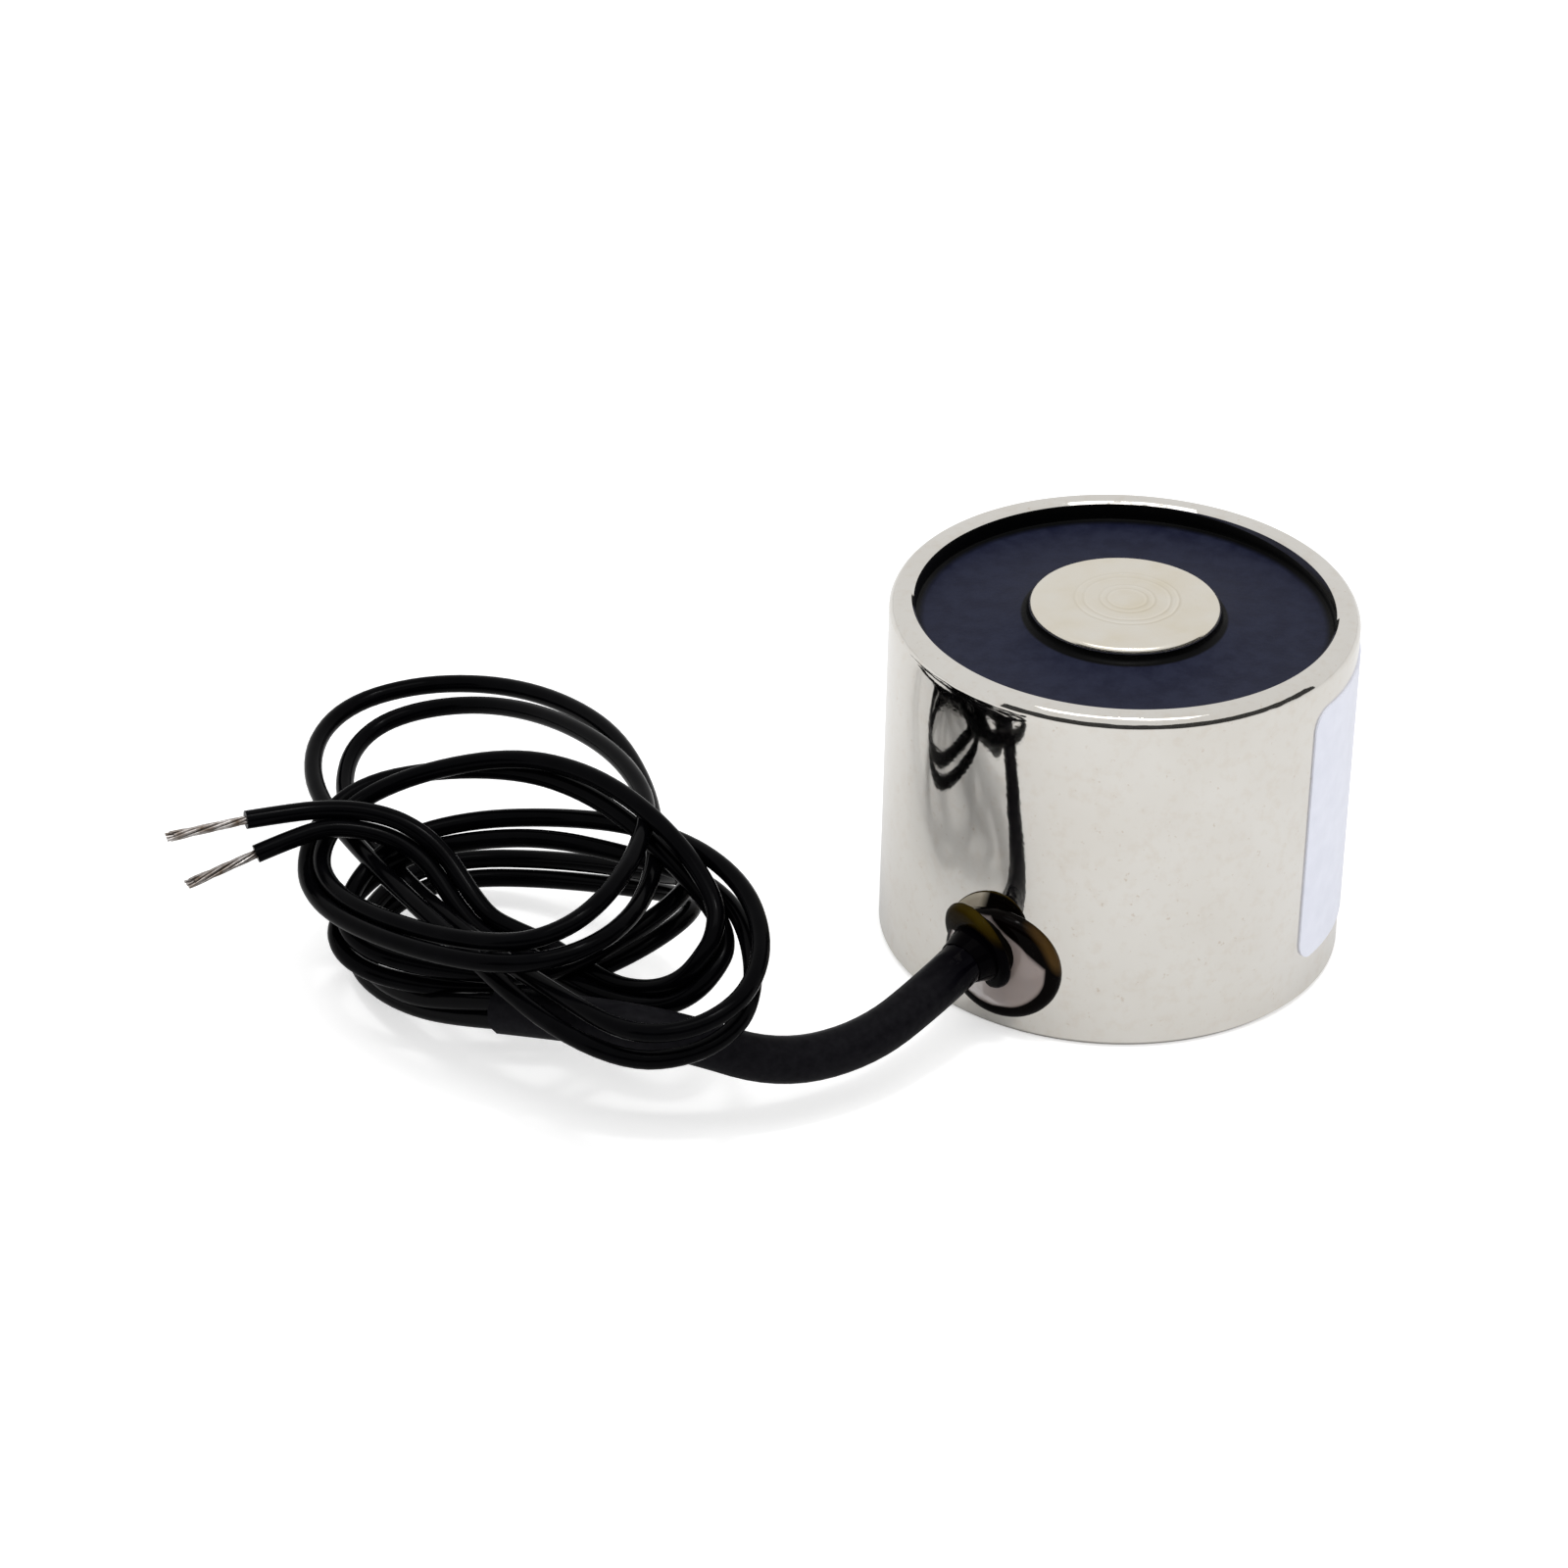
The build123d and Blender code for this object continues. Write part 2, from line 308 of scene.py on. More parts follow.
tree.links.new(
    add_blend(tree, 1.0, stain_colour, ring_painted_highlight_and_shade, "MULTIPLY"), shader.inputs["Base Color"]
)
tree.links.new(add_ramp(tree, stain, (0.3, 0.16), (0.8, 0.24)), shader.inputs["Roughness"])
add_bump(tree, shader, rings, 1.0, 0.015 * MM)

core = finish_piece(
    "core",
    turn_mesh(
        [
            (THREAD_RADIUS + 0.35, 0),
            (TAIL_RADIUS, 0),
            (TAIL_RADIUS, FLOOR_TOP),
            (CORE_RADIUS, FLOOR_TOP),
            (CORE_RADIUS, RIM_HEIGHT - 0.28),
            (CORE_RADIUS - 0.03, RIM_HEIGHT - 0.17),
            (CORE_RADIUS - 0.10, RIM_HEIGHT - 0.08),
            (CORE_RADIUS - 0.20, RIM_HEIGHT - 0.02),
            (CORE_RADIUS - 0.34, RIM_HEIGHT),
            (2.5, RIM_HEIGHT),
            (0, RIM_HEIGHT),
            (0, 7),
            (THREAD_RADIUS, 6),
            (THREAD_RADIUS, 0.35),
        ],
        192,
    ),
    core_nickel,
)
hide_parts("pole_core")


# Bobbin, winding and tape
# A moulded spool of natural plastic slides over the core. Enamelled copper wire fills it in even
# layers, and clear yellow polyester tape holds the last layer down.
bobbin_white, tree, shader, place = new_finish("bobbin plastic", Roughness=0.45)
flow = add_noise(tree, place, 200)
tree.links.new(
    add_ramp(tree, flow, (0.3, (0.66, 0.63, 0.55)), (0.7, (0.74, 0.71, 0.64))),
    shader.inputs["Base Color"],
)
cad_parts["coil_bobbin"].material_slots[0].material = bobbin_white

copper, tree, shader, place = new_finish("enamelled copper", Metallic=1.0, Roughness=0.28)
layers = add_node(
    tree, "ShaderNodeTexWave", {"Vector": place, "Scale": 1600}, bands_direction="Z"
).outputs["Fac"]
tree.links.new(
    add_ramp(tree, layers, (0.0, (0.25, 0.08, 0.03)), (1.0, (0.72, 0.32, 0.14))),
    shader.inputs["Base Color"],
)
add_bump(tree, shader, layers, 0.8, 0.05 * MM)
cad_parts["coil_winding"].material_slots[0].material = copper

tape_yellow, tree, shader, place = new_finish("polyester tape", Roughness=0.22)
overlap = add_node(
    tree, "ShaderNodeTexWave", {"Vector": place, "Scale": 90, "Distortion": 0.6},
    bands_direction="Z",
).outputs["Fac"]
tree.links.new(
    add_ramp(tree, overlap, (0.1, (0.60, 0.38, 0.03)), (0.6, (0.78, 0.55, 0.07))),
    shader.inputs["Base Color"],
)
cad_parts["winding_tape"].material_slots[0].material = tape_yellow


# Splices and inner leads
# Each end of the winding is joined to its lead in a varnished tube that stands beside the
# tape, and the lead, in glossy black insulation, runs down from it to the exit.
varnish, tree, shader, place = new_finish("splice tube", Roughness=0.4)
weave = add_noise(tree, place, 2400, detail=2)
tree.links.new(
    add_ramp(tree, weave, (0.3, (0.55, 0.50, 0.38)), (0.7, (0.70, 0.66, 0.55))),
    shader.inputs["Base Color"],
)

lead_black, tree, shader, place = new_finish("lead black", Specular_IOR_Level=0.03)
skin = add_noise(tree, place, 700, detail=4)
tree.links.new(
    add_ramp(tree, skin, (0.35, (0.0006, 0.0006, 0.0009)), (0.75, (0.0014, 0.0014, 0.0019))),
    shader.inputs["Base Color"],
)
tree.links.new(add_ramp(tree, skin, (0.3, 0.12), (0.8, 0.20)), shader.inputs["Roughness"])
add_bump(tree, shader, skin, 0.6, 0.012 * MM)

for side in "ab":
    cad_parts[f"splice_{side}"].material_slots[0].material = varnish
    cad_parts[f"inner_lead_{side}"].material_slots[0].material = lead_black


# Potting resin
# Dark blue-grey resin, poured in over the winding and set a millimetre below the rim. It has
# crept up the bore and the side of the core, where it is painted black as painted shade of the
# narrow gaps there, and dust lies on its face.
POTTING_BOTTOM = 17.3
POTTING_HEIGHT = 18.9

potting_navy, tree, shader, place = new_finish("potting navy", Specular_IOR_Level=0.06)
flat_place = add_node(
    tree, "ShaderNodeMapping", {"Vector": place, "Scale": (1, 1, 0)}
).outputs["Vector"]
from_axis = add_vector_math(tree, "LENGTH", flat_place)
cloud = add_noise(tree, place, 800, detail=4, roughness=0.7)
dust = add_noise(tree, place, 3800, detail=2)
past_core_painted_shade = add_share(tree, from_axis, 5.44 * MM, 5.56 * MM)
before_bore_painted_shade = add_share(tree, from_axis, 10.95 * MM, 10.6 * MM)
# Painted shade: the resin is black where it climbs the core and the bore
tree.links.new(
    add_blend(
        tree,
        add_math(tree, "MULTIPLY", past_core_painted_shade, before_bore_painted_shade),
        (0.0003, 0.0003, 0.0004, 1),
        add_ramp(tree, cloud, (0.38, (0.0085, 0.0100, 0.025)), (0.62, (0.0155, 0.0180, 0.037))),
    ),
    shader.inputs["Base Color"],
)
tree.links.new(add_ramp(tree, cloud, (0.3, 0.36), (0.7, 0.5)), shader.inputs["Roughness"])
add_bump(tree, shader, dust, 0.4, 0.02 * MM)

potting_mesh = turn_mesh(
    [
        (CORE_RADIUS, POTTING_BOTTOM),
        (BORE_RADIUS, POTTING_BOTTOM),
        (BORE_RADIUS, RIM_HEIGHT - 0.13),
        (BORE_RADIUS - 0.05, RIM_HEIGHT - 0.20),
        (BORE_RADIUS - 0.07, POTTING_HEIGHT + 0.35),
        (BORE_RADIUS - 0.13, POTTING_HEIGHT + 0.12),
        (BORE_RADIUS - 0.30, POTTING_HEIGHT + 0.02),
        (BORE_RADIUS - 0.45, POTTING_HEIGHT),
        (CORE_RADIUS + 3.00, POTTING_HEIGHT + 0.01),
        (CORE_RADIUS + 2.00, POTTING_HEIGHT + 0.06),
        (CORE_RADIUS + 1.20, POTTING_HEIGHT + 0.14),
        (CORE_RADIUS + 0.70, POTTING_HEIGHT + 0.22),
        (CORE_RADIUS + 0.35, POTTING_HEIGHT + 0.30),
        (CORE_RADIUS + 0.15, POTTING_HEIGHT + 0.38),
        (CORE_RADIUS + 0.06, POTTING_HEIGHT + 0.50),
        (CORE_RADIUS, RIM_HEIGHT - 0.32),
    ],
    192,
)
# The resin has climbed less far up the bore at the right
for vert in potting_mesh.verts:
    creep = vert.co.z - (POTTING_HEIGHT + 0.05) * MM
    if creep > 0 and vert.co.xy.length > (BORE_RADIUS - 0.2) * MM:
        rightward = max(0.0, vert.co.x / vert.co.xy.length)
        vert.co.z -= creep * 0.75 * rightward ** 2
potting = finish_piece("potting", potting_mesh, potting_navy)
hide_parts("potting_resin")


# Lead sleeve
# A black plastic sleeve, 2.5 mm across, that holds the two leads together. It comes out of the
# bush, sinks towards the surface and rises again to the coiled stretch. Glue at the exit has
# run onto its first few millimetres, which are wet and crinkled.
def lay_cord(name, points, diameter, finish):
    """A round cord along one smooth open spline through the room, from points in metres."""
    curve = bpy.data.curves.new(name, "CURVE")
    curve.dimensions = "3D"
    curve.bevel_depth = diameter / 2
    curve.bevel_resolution = 5
    curve.resolution_u = 6
    curve.use_fill_caps = True
    spline = curve.splines.new("NURBS")
    spline.points.add(len(points) - 1)
    for knot, point in zip(spline.points, points):
        knot.co = (*point, 1)
    spline.order_u = 3
    spline.use_endpoint_u = True
    cord = bpy.data.objects.new(name, curve)
    scene.collection.objects.link(cord)
    curve.materials.append(finish)
    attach(cord, "root")
    return cord


sleeve_black, tree, shader, place = new_finish("sleeve black", Specular_IOR_Level=0.025)
exit_middle = (outward(EXIT_ANGLE) * SHELL_RADIUS + Vector((0, 0, EXIT_HEIGHT))) * MM
from_exit = add_vector_math(tree, "DISTANCE", place, tuple(exit_middle))
dry = add_share(tree, from_exit, 3.6 * MM, 6.0 * MM)
wet = add_math(tree, "SUBTRACT", 1.0, dry)
creases = add_noise(tree, place, 620, detail=1)
scuffs = add_noise(tree, place, 2600, detail=4)
# The dry part's colour is a little lighter than the wet part's, raised partly as a painted sheen
dry_tone_and_painted_sheen = add_ramp(
    tree, scuffs, (0.3, (0.0042, 0.0040, 0.0052)), (0.8, (0.0085, 0.0082, 0.0100))
)
tree.links.new(
    add_blend(tree, dry, (0.0008, 0.0006, 0.0016, 1), dry_tone_and_painted_sheen), shader.inputs["Base Color"]
)
tree.links.new(add_ramp(tree, dry, (0.0, 0.05), (1.0, 0.42)), shader.inputs["Roughness"])
height = add_math(
    tree, "MULTIPLY_ADD", scuffs, 0.04, add_math(tree, "MULTIPLY", creases, wet)
)
add_bump(tree, shader, height, 1.0, 0.22 * MM)

SLEEVE_DIAMETER = 2.5
sleeve_points = [
    outward(EXIT_ANGLE) * BORE_RADIUS + Vector((0, 0, EXIT_HEIGHT)),
    outward(EXIT_ANGLE) * (BORE_RADIUS + 1.9) + Vector((0, 0, EXIT_HEIGHT)),
    Vector((-8.8, -14.9, 4.5)),
    Vector((-12.0, -18.7, 3.4)),
    Vector((-16.4, -21.5, 3.6)),
    Vector((-21.2, -22.9, 6.0)),
    Vector((-26.0, -22.6, 6.5)),
    Vector((-30.8, -20.0, 5.0)),
]
sleeve = lay_cord(
    "sleeve", [point * MM for point in sleeve_points], SLEEVE_DIAMETER * MM, sleeve_black
)
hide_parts("lead_sleeve")


# Exit bush
# A moulded bush of olive amber plastic, glossy. Its barrel sits in the shell's side hole, its
# rounded flange leans over to the left and down, and a short neck tapers onto the sleeve.
FLANGE_RADIUS = 2.55
FLANGE_STAND_OFF = 0.85
FLANGE_LEFT = 0.43
FLANGE_DOWN = 0.42
FLANGE_LEAN_LEFT = 20
FLANGE_LEAN_DOWN = math.radians(14)

olive_amber, tree, shader, place = new_finish(
    "olive amber", Roughness=0.06, Specular_IOR_Level=0.008
)
face_middle = outward(EXIT_ANGLE) * (SHELL_RADIUS + FLANGE_STAND_OFF)
face_middle += outward(EXIT_ANGLE + 90) * FLANGE_LEFT + Vector((0, 0, EXIT_HEIGHT - FLANGE_DOWN))
facing = outward(EXIT_ANGLE + FLANGE_LEAN_LEFT) * math.cos(FLANGE_LEAN_DOWN)
facing -= Vector((0, 0, math.sin(FLANGE_LEAN_DOWN)))
leaving = (sleeve_points[2] - sleeve_points[1]).normalized()

# The face is clear above and at the left of a black round whose middle lies lower and to the
# right, and its amber is painted lighter towards the top, a painted light from above. The back
# is painted pale at the left, a painted reflection for the shell to mirror.
dark_middle = face_middle - outward(EXIT_ANGLE + FLANGE_LEAN_LEFT + 90) * 0.8
dark_middle -= Vector((0, 0, 0.6))
from_dark_middle = add_vector_math(tree, "DISTANCE", place, tuple(dark_middle * MM))
above_base = add_node(tree, "ShaderNodeSeparateXYZ", {"Vector": place}).outputs["Z"]
clear_part = add_share(tree, from_dark_middle, 2.25 * MM, 2.6 * MM)
upper = add_share(tree, above_base, (EXIT_HEIGHT - 1.4) * MM, (EXIT_HEIGHT + 2.0) * MM)
from_face = add_vector_math(tree, "SUBTRACT", place, tuple(face_middle * MM))
in_front = add_vector_math(tree, "DOT_PRODUCT", from_face, tuple(facing))
leftness = add_vector_math(tree, "DOT_PRODUCT", from_face, tuple(outward(EXIT_ANGLE + 90)))
on_flange = add_share(tree, in_front, 0.12 * MM, 0.04 * MM)
shown = add_math(tree, "MULTIPLY", clear_part, on_flange)
behind = add_share(tree, in_front, -0.50 * MM, -0.56 * MM)
# Painted reflection: the back is pale at the left so that the shell mirrors it pale
painted_reflection_part = add_share(tree, leftness, 0.1 * MM, 0.6 * MM)
back_painted_reflection = add_blend(tree, painted_reflection_part, (0.002, 0.0015, 0.001, 1), (0.62, 0.58, 0.50, 1))
swirl = add_noise(tree, place, 500, detail=2)
# Painted light: the amber is painted lighter towards the top
amber_painted_top_light = add_ramp(
    tree, upper,
    (0.0, (0.0015, 0.0010, 0.0004)),
    (0.45, (0.0050, 0.0034, 0.0008)),
    (1.0, (0.036, 0.025, 0.0022)),
)
amber_swirl = add_ramp(tree, swirl, (0.35, (0.70, 0.62, 0.50)), (0.7, (1, 1, 1)))
amber_seen = add_blend(tree, 1.0, amber_painted_top_light, amber_swirl, "MULTIPLY")
front_colour = add_blend(tree, shown, (0.0008, 0.0006, 0.0010, 1), amber_seen)
tree.links.new(
    add_blend(tree, behind, front_colour, back_painted_reflection), shader.inputs["Base Color"]
)
add_bump(tree, shader, swirl, 0.5, 0.05 * MM)

bush_mesh = turn_mesh(
    [
        (1.3, -1.3),
        (1.75, -1.3),
        (1.80, -0.75),
        (2.20, -0.62),
        (FLANGE_RADIUS - 0.05, -0.55),
        (FLANGE_RADIUS, -0.42),
        (FLANGE_RADIUS, -0.35),
        (FLANGE_RADIUS - 0.05, -0.17),
        (FLANGE_RADIUS - 0.17, -0.05),
        (FLANGE_RADIUS - 0.35, 0),
        (1.3, 0),
    ],
    96,
)
point_along(bush_mesh, face_middle * MM, facing)
neck_mesh = turn_mesh(
    [(1.2, -0.3), (1.85, -0.3), (1.76, 0.3), (1.62, 0.8), (1.44, 1.3), (1.28, 1.9), (1.2, 1.9)],
    64,
)
# The thick end of the neck hangs a little below the sleeve's middle
for vert in neck_mesh.verts:
    vert.co.y -= max(0, vert.co.xy.length - 1.28 * MM)
point_along(neck_mesh, sleeve_points[1] * MM, leaving)
barrel_mesh = turn_mesh(
    [(1.27, BORE_RADIUS), (1.75, BORE_RADIUS), (1.75, SHELL_RADIUS), (1.27, SHELL_RADIUS)], 64
)
point_along(barrel_mesh, Vector((0, 0, EXIT_HEIGHT)) * MM, outward(EXIT_ANGLE))
for part_mesh in (neck_mesh, barrel_mesh):
    part_data = bpy.data.meshes.new("bush part")
    part_mesh.to_mesh(part_data)
    part_mesh.free()
    bush_mesh.from_mesh(part_data)
    bpy.data.meshes.remove(part_data)
bush = finish_piece("bush", bush_mesh, olive_amber, sharp=60)
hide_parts("exit_bush")


# Sealing resin
# A drop of clear amber glue round the bush, which lies on the curved shell. The nickel shows
# through its middle, warmer than beside it, helped by a painted see-through colour, and its
# rounded edge is painted black, with a painted dark band and brown rim at the upper right that
# stand in for light bent through the edge.
DROP_ANGLE = 25.8
DROP_HEIGHT = 4.13
DROP_RADIUS = 3.42
DROP_SQUASH = 0.925

clear_amber, tree, shader, place = new_finish(
    "clear amber glue", Roughness=0.03, IOR=1.45, Specular_IOR_Level=0.03
)
clear_middle = outward(DROP_ANGLE + 0.6) * SHELL_RADIUS + Vector((0, 0, DROP_HEIGHT + 0.3))
offset = add_vector_math(tree, "SUBTRACT", place, tuple(clear_middle * MM))
rounded = add_vector_math(tree, "MULTIPLY", offset, (1, 1, 1 / DROP_SQUASH))
from_middle = add_vector_math(tree, "LENGTH", rounded)
waver = add_noise(tree, place, 350, detail=2)
wavering = add_math(tree, "MULTIPLY_ADD", waver, 0.4 * MM, from_middle)


def towards(degrees_up, start, end):
    """How far a point of the drop lies towards its right, some degrees above level."""
    direction = outward(DROP_ANGLE - 90) * math.cos(math.radians(degrees_up))
    direction.z = math.sin(math.radians(degrees_up))
    distance = add_vector_math(tree, "DOT_PRODUCT", offset, tuple(direction))
    return add_share(tree, distance, start * MM, end * MM)


# Painted shade and light at the edge: black all round, with a dark band and a brown rim at the
# upper right
painted_dark_edge = add_share(tree, wavering, 3.00 * MM, 3.20 * MM)
painted_dark_band = add_math(
    tree, "MULTIPLY", add_share(tree, wavering, 2.20 * MM, 2.45 * MM), towards(55, 1.7, 2.0)
)
painted_dark_part = add_math(tree, "MAXIMUM", painted_dark_edge, painted_dark_band)
painted_amber_rim = add_math(
    tree, "MULTIPLY", add_share(tree, wavering, 3.20 * MM, 3.50 * MM), towards(38, 2.65, 3.00)
)
# Painted see-through: the middle's pink beige stands in for the nickel seen through the glue
middle_painted_see_through = add_ramp(tree, waver, (0.35, (0.44, 0.35, 0.31)), (0.65, (0.42, 0.36, 0.345)))
painted_edge_colour = add_blend(tree, painted_amber_rim, (0.001, 0.0005, 0.0004, 1), (0.055, 0.030, 0.009, 1))
tree.links.new(
    add_blend(tree, painted_dark_part, middle_painted_see_through, painted_edge_colour), shader.inputs["Base Color"]
)
tree.links.new(
    add_ramp(tree, painted_dark_part, (0.0, 0.4), (0.6, 0.0)), shader.inputs["Transmission Weight"]
)
add_bump(tree, shader, waver, 0.4, 0.05 * MM)

drop_mesh = turn_mesh(
    [
        (0, -0.06),
        (DROP_RADIUS - 0.02, -0.06),
        (DROP_RADIUS, 0.08),
        (DROP_RADIUS - 0.05, 0.26),
        (DROP_RADIUS - 0.17, 0.42),
        (DROP_RADIUS - 0.36, 0.53),
        (DROP_RADIUS - 0.7, 0.6),
        (DROP_RADIUS - 1.4, 0.6),
        (0, 0.6),
    ],
    96,
)
for vert in drop_mesh.verts:
    sideways, upward, proud = vert.co / MM
    angle = DROP_ANGLE + math.degrees(sideways / SHELL_RADIUS)
    vert.co = outward(angle) * (SHELL_RADIUS + proud)
    vert.co.z = DROP_HEIGHT + upward * DROP_SQUASH
    vert.co *= MM
bmesh.ops.recalc_face_normals(drop_mesh, faces=drop_mesh.faces)
drop = finish_piece("drop", drop_mesh, clear_amber, sharp=60)
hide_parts("sealing_resin")


# Coiled leads
# Two leads of stranded wire in glossy black insulation, 1 mm across, that lie side by side.
# They are wound by hand into four loose oval turns, held up at the right by the stiff sleeve,
# and then run back across the turns to their free ends at the left.

# Each row is the middle of the pair in millimetres, half the distance between the leads, and
# the tilt of the pair in degrees. Eight rows make a turn.
pair_rows = [
    (-29.78, -20.55, 5.32, 0.50, 72), (-36.35, -15.12, 1.92, 0.50, 118),
    (-40.29, -8.77, 1.01, 0.52, 80), (-37.56, -2.54, 1.78, 0.54, 125),
    (-31.12, -1.98, 2.45, 0.53, 115), (-23.74, -7.07, 5.17, 0.65, 70),
    (-21.81, -12.22, 7.60, 0.79, 85), (-24.65, -16.13, 6.98, 0.84, 107),
    (-29.61, -16.84, 4.82, 0.98, 135), (-37.38, -16.35, 4.72, 0.58, 81),
    (-40.44, -12.77, 5.19, 0.57, 58), (-37.51, -8.25, 7.32, 0.50, 103),
    (-29.68, -8.34, 9.09, 0.66, 153), (-21.45, -13.17, 10.48, 0.93, 87),
    (-17.92, -18.67, 10.02, 0.87, 102), (-18.15, -24.66, 8.66, 0.93, 100),
    (-23.71, -26.44, 7.42, 0.82, 86), (-32.55, -17.90, 7.39, 0.88, -26),
    (-42.38, -2.79, 6.33, 0.98, -34), (-41.92, 5.54, 7.02, 1.06, -18),
    (-35.05, 6.27, 8.50, 0.92, -12), (-28.10, -0.39, 10.49, 0.97, 15),
    (-24.00, -10.15, 10.97, 0.98, 81), (-25.14, -19.62, 10.97, 0.85, 38),
    (-30.31, -21.82, 9.54, 0.62, 30), (-38.61, -16.37, 7.66, 0.50, 30),
    (-42.17, -10.55, 7.22, 0.50, 36), (-40.00, -5.88, 9.25, 0.59, 1),
    (-31.52, -6.62, 11.86, 0.57, 69), (-24.96, -11.41, 12.23, 0.67, 98),
    (-19.96, -16.78, 9.84, 0.75, 74), (-20.25, -19.31, 8.10, 0.50, 54),
    (-22.28, -19.78, 6.32, 0.51, 54), (-25.52, -18.33, 5.49, 0.50, 17),
    (-29.31, -15.42, 5.79, 0.50, 48), (-32.53, -13.58, 6.04, 0.50, 33),
    (-34.61, -11.41, 7.42, 0.50, 40), (-35.99, -10.22, 8.38, 0.52, 60),
    (-38.19, -9.36, 9.16, 0.54, 74), (-41.52, -9.32, 9.41, 0.51, 42),
    (-45.28, -10.87, 8.93, 0.94, 55),
]


def straight_on(last, before):
    """The row that would follow the last one."""
    return tuple(2 * a - b for a, b in zip(last, before))


# A row half-way between each two rows, on the curve through its four neighbours
rows = [straight_on(*pair_rows[:2]), *pair_rows, straight_on(*pair_rows[:-3:-1])]
lead_rows = []
for before, start, end, after in zip(rows, rows[1:], rows[2:], rows[3:]):
    half_way = [(9 * (b + c) - a - d) / 16 for a, b, c, d in zip(before, start, end, after)]
    lead_rows += [start, half_way]
lead_rows.append(pair_rows[-1])

lead_points = {"a": [], "b": []}
for k, row in enumerate(lead_rows):
    ahead = Vector(lead_rows[min(k + 1, len(lead_rows) - 1)][:3])
    behind = Vector(lead_rows[max(k - 1, 0)][:3])
    along = (ahead - behind).normalized()
    across = along.cross((0, 0, 1)).normalized()
    above = across.cross(along)
    tilt = math.radians(row[4])
    apart = (across * math.cos(tilt) + above * math.sin(tilt)) * row[3]
    lead_points["a"].append((Vector(row[:3]) + apart) * MM)
    lead_points["b"].append((Vector(row[:3]) - apart) * MM)

LEAD_DIAMETER = 1.0
for side, replaced in (("a", ("lead_coil", "lead_a_end")), ("b", ("lead_b_end",))):
    lay_cord(f"lead_{side}", lead_points[side], LEAD_DIAMETER * MM, lead_black)
    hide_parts(*replaced)


# Stripped ends
# About 4 mm of each lead is stripped. Seven tinned copper strands are twisted lightly and
# spread a little at the tip, and the last of the insulation has left a brown tint on them.
STRAND_RADIUS = 0.085
STRAND_STEPS = 9
strand_tips = {"a": Vector((-49.6, -12.2, 9.4)), "b": Vector((-48.2, -14.2, 7.8))}

tinned, tree, shader, place = new_finish("tinned strands", Metallic=1.0)
grime = add_noise(tree, place, 1500)
tree.links.new(
    add_ramp(
        tree, grime,
        (0.3, (0.15, 0.11, 0.08)), (0.5, (0.36, 0.33, 0.31)), (0.7, (0.62, 0.60, 0.59)),
    ),
    shader.inputs["Base Color"],
)
tree.links.new(add_ramp(tree, grime, (0.3, 0.5), (0.7, 0.25)), shader.inputs["Roughness"])
add_bump(tree, shader, grime, 0.5, 0.03 * MM)

for side, tip in strand_tips.items():
    start = lead_points[side][-1] / MM
    along = (tip - start).normalized()
    across = along.cross((0, 0, 1)).normalized()
    above = across.cross(along)
    curve = bpy.data.curves.new(f"strands_{side}", "CURVE")
    curve.dimensions = "3D"
    curve.bevel_depth = STRAND_RADIUS * MM
    curve.bevel_resolution = 2
    curve.use_fill_caps = True
    for number in range(7):
        ring = 0 if number == 0 else 2 * STRAND_RADIUS
        reach = (tip - start).length - 0.08 - (number % 3) * 0.2
        spline = curve.splines.new("NURBS")
        spline.points.add(STRAND_STEPS)
        for k, knot in enumerate(spline.points):
            share = k / STRAND_STEPS
            turned = math.radians(60 * number + 200 * share)
            spread = ring * (1 + 0.25 * share ** 3)
            point = start + along * (reach * share - 0.3 * (1 - share))
            point += (across * math.cos(turned) + above * math.sin(turned)) * spread
            knot.co = (*(point * MM), 1)
        spline.order_u = 3
        spline.use_endpoint_u = True
    strands = bpy.data.objects.new(f"strands_{side}", curve)
    scene.collection.objects.link(strands)
    curve.materials.append(tinned)
    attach(strands, "root")
    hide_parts(f"conductor_{side}")


# Side label
# A white film with rounded corners, stuck round the right side of the shell and left bare.
label_white, tree, shader, place = new_finish(
    "label white", Roughness=0.38, Specular_IOR_Level=0.4
)
fibre = add_noise(tree, place, 900, detail=4)
tree.links.new(
    add_ramp(tree, fibre, (0.3, (0.78, 0.80, 0.90)), (0.7, (0.83, 0.85, 0.95))),
    shader.inputs["Base Color"],
)
add_bump(tree, shader, fibre, 0.4, 0.01 * MM)
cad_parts["side_label"].material_slots[0].material = label_white


# Floor, world and lamps
# A white floor that keeps a faint shadow, a white room, a wide and a small soft lamp above, and
# a dark card behind the camera that only mirror-like surfaces see.
floor_mesh = bmesh.new()
bmesh.ops.create_grid(floor_mesh, x_segments=1, y_segments=1, size=3)
floor_data = bpy.data.meshes.new("floor")
floor_mesh.to_mesh(floor_data)
floor_mesh.free()
floor = bpy.data.objects.new("floor", floor_data)
scene.collection.objects.link(floor)

# Light that the floor gives off by itself, to the camera and to mirror-like surfaces
CAMERA_LIFT = 0.46
MIRROR_LIFT = 0.02

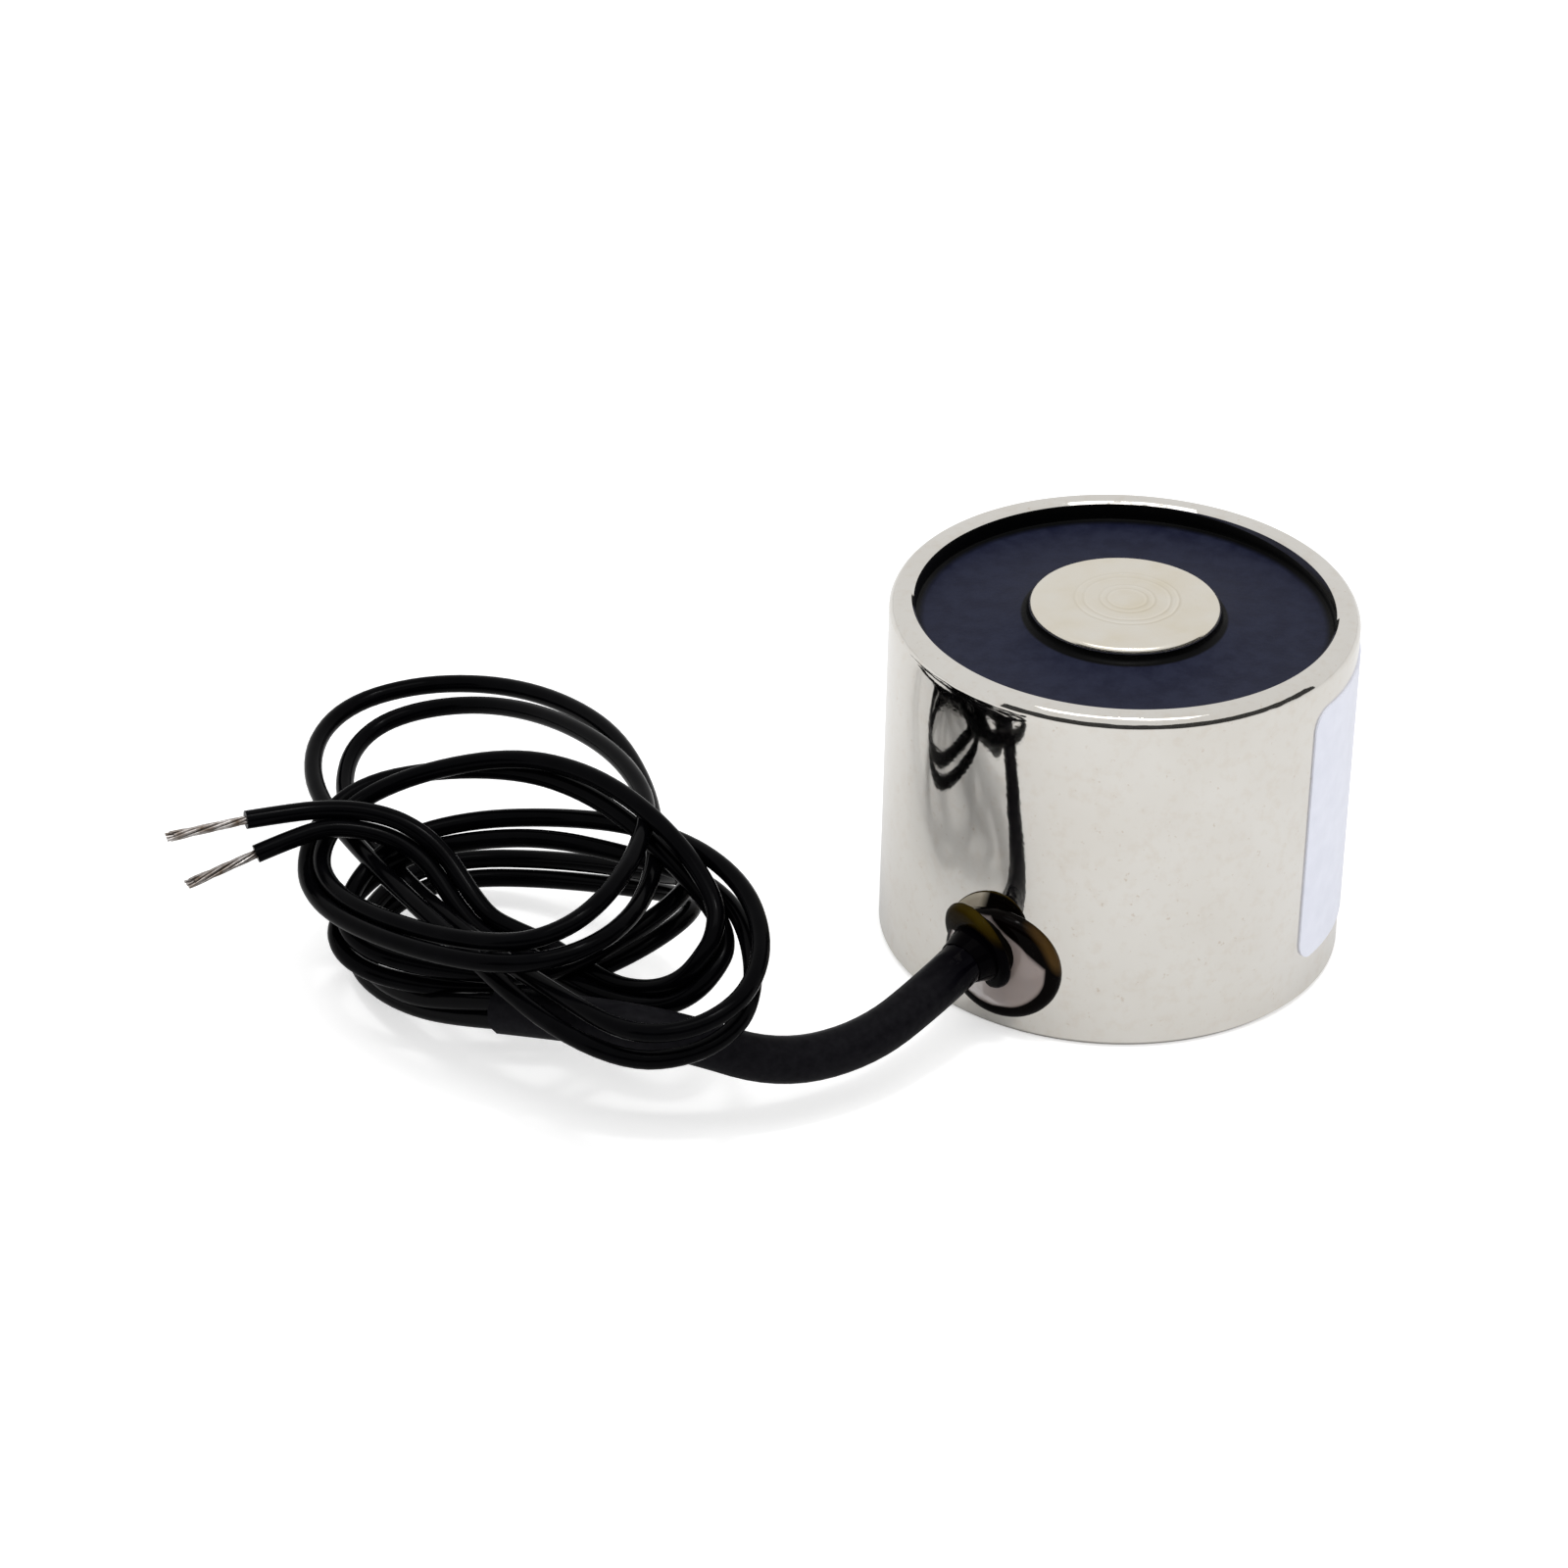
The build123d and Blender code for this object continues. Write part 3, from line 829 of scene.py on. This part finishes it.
floor_white = bpy.data.materials.new("floor white")
floor_white.use_nodes = True
tree = floor_white.node_tree
tree.nodes.clear()
paint = add_node(tree, "ShaderNodeBsdfDiffuse", {"Color": (0.84, 0.84, 0.84, 1)})
rays = add_node(tree, "ShaderNodeLightPath").outputs
mirrored = add_math(tree, "MAXIMUM", rays["Is Glossy Ray"], rays["Is Transmission Ray"])
lift = add_math(
    tree,
    "MULTIPLY_ADD",
    rays["Is Camera Ray"],
    CAMERA_LIFT,
    add_math(tree, "MULTIPLY", mirrored, MIRROR_LIFT),
)
glow = add_node(tree, "ShaderNodeEmission", {"Color": (1, 1, 1, 1), "Strength": lift})
both = add_node(tree, "ShaderNodeAddShader", {0: paint.outputs[0], 1: glow.outputs[0]})
add_node(tree, "ShaderNodeOutputMaterial", {"Surface": both.outputs[0]})
floor_data.materials.append(floor_white)

world = bpy.data.worlds.new("room")
world.use_nodes = True
world.node_tree.nodes["Background"].inputs["Color"].default_value = (1, 1, 1, 1)
world.node_tree.nodes["Background"].inputs["Strength"].default_value = 0.85
scene.world = world

for name, size, energy, lamp_place in (
    ("soft lamp", (0.34, 0.16), 0.34, Vector((0.0, -0.10, 0.40))),
    ("small lamp", (0.05, 0.035), 0.19, Vector((0.02, -0.05, 0.40))),
):
    lamp_data = bpy.data.lights.new(name, "AREA")
    lamp_data.shape = "RECTANGLE"
    lamp_data.size, lamp_data.size_y = size
    lamp_data.energy = energy
    lamp = bpy.data.objects.new(name, lamp_data)
    aim = (-lamp_place).to_track_quat("-Z", "Y").to_matrix().to_4x4()
    lamp.matrix_world = Matrix.Translation(lamp_place) @ aim
    scene.collection.objects.link(lamp)

CARD_RADIUS = 0.6
card_mesh = bmesh.new()
card_foot = card_mesh.verts.new((CARD_RADIUS, 0, 0.02))
card_head = card_mesh.verts.new((CARD_RADIUS, 0, 0.30))
card_side = card_mesh.edges.new((card_foot, card_head))
bmesh.ops.rotate(
    card_mesh, cent=(0, 0, 0), matrix=Matrix.Rotation(math.radians(10), 3, "Z"),
    verts=card_mesh.verts,
)
bmesh.ops.spin(
    card_mesh, geom=[card_foot, card_head, card_side], axis=(0, 0, 1), cent=(0, 0, 0),
    angle=math.radians(-155), steps=31,
)
card_data = bpy.data.meshes.new("card")
card_mesh.to_mesh(card_data)
card_mesh.free()
card = bpy.data.objects.new("card", card_data)
scene.collection.objects.link(card)
card.visible_camera = False
card.visible_diffuse = False
card.visible_shadow = False
card_black = bpy.data.materials.new("card black")
card_black.use_nodes = True
card_shader = card_black.node_tree.nodes["Principled BSDF"]
card_shader.inputs["Base Color"].default_value = (0.02, 0.02, 0.02, 1)
card_data.materials.append(card_black)
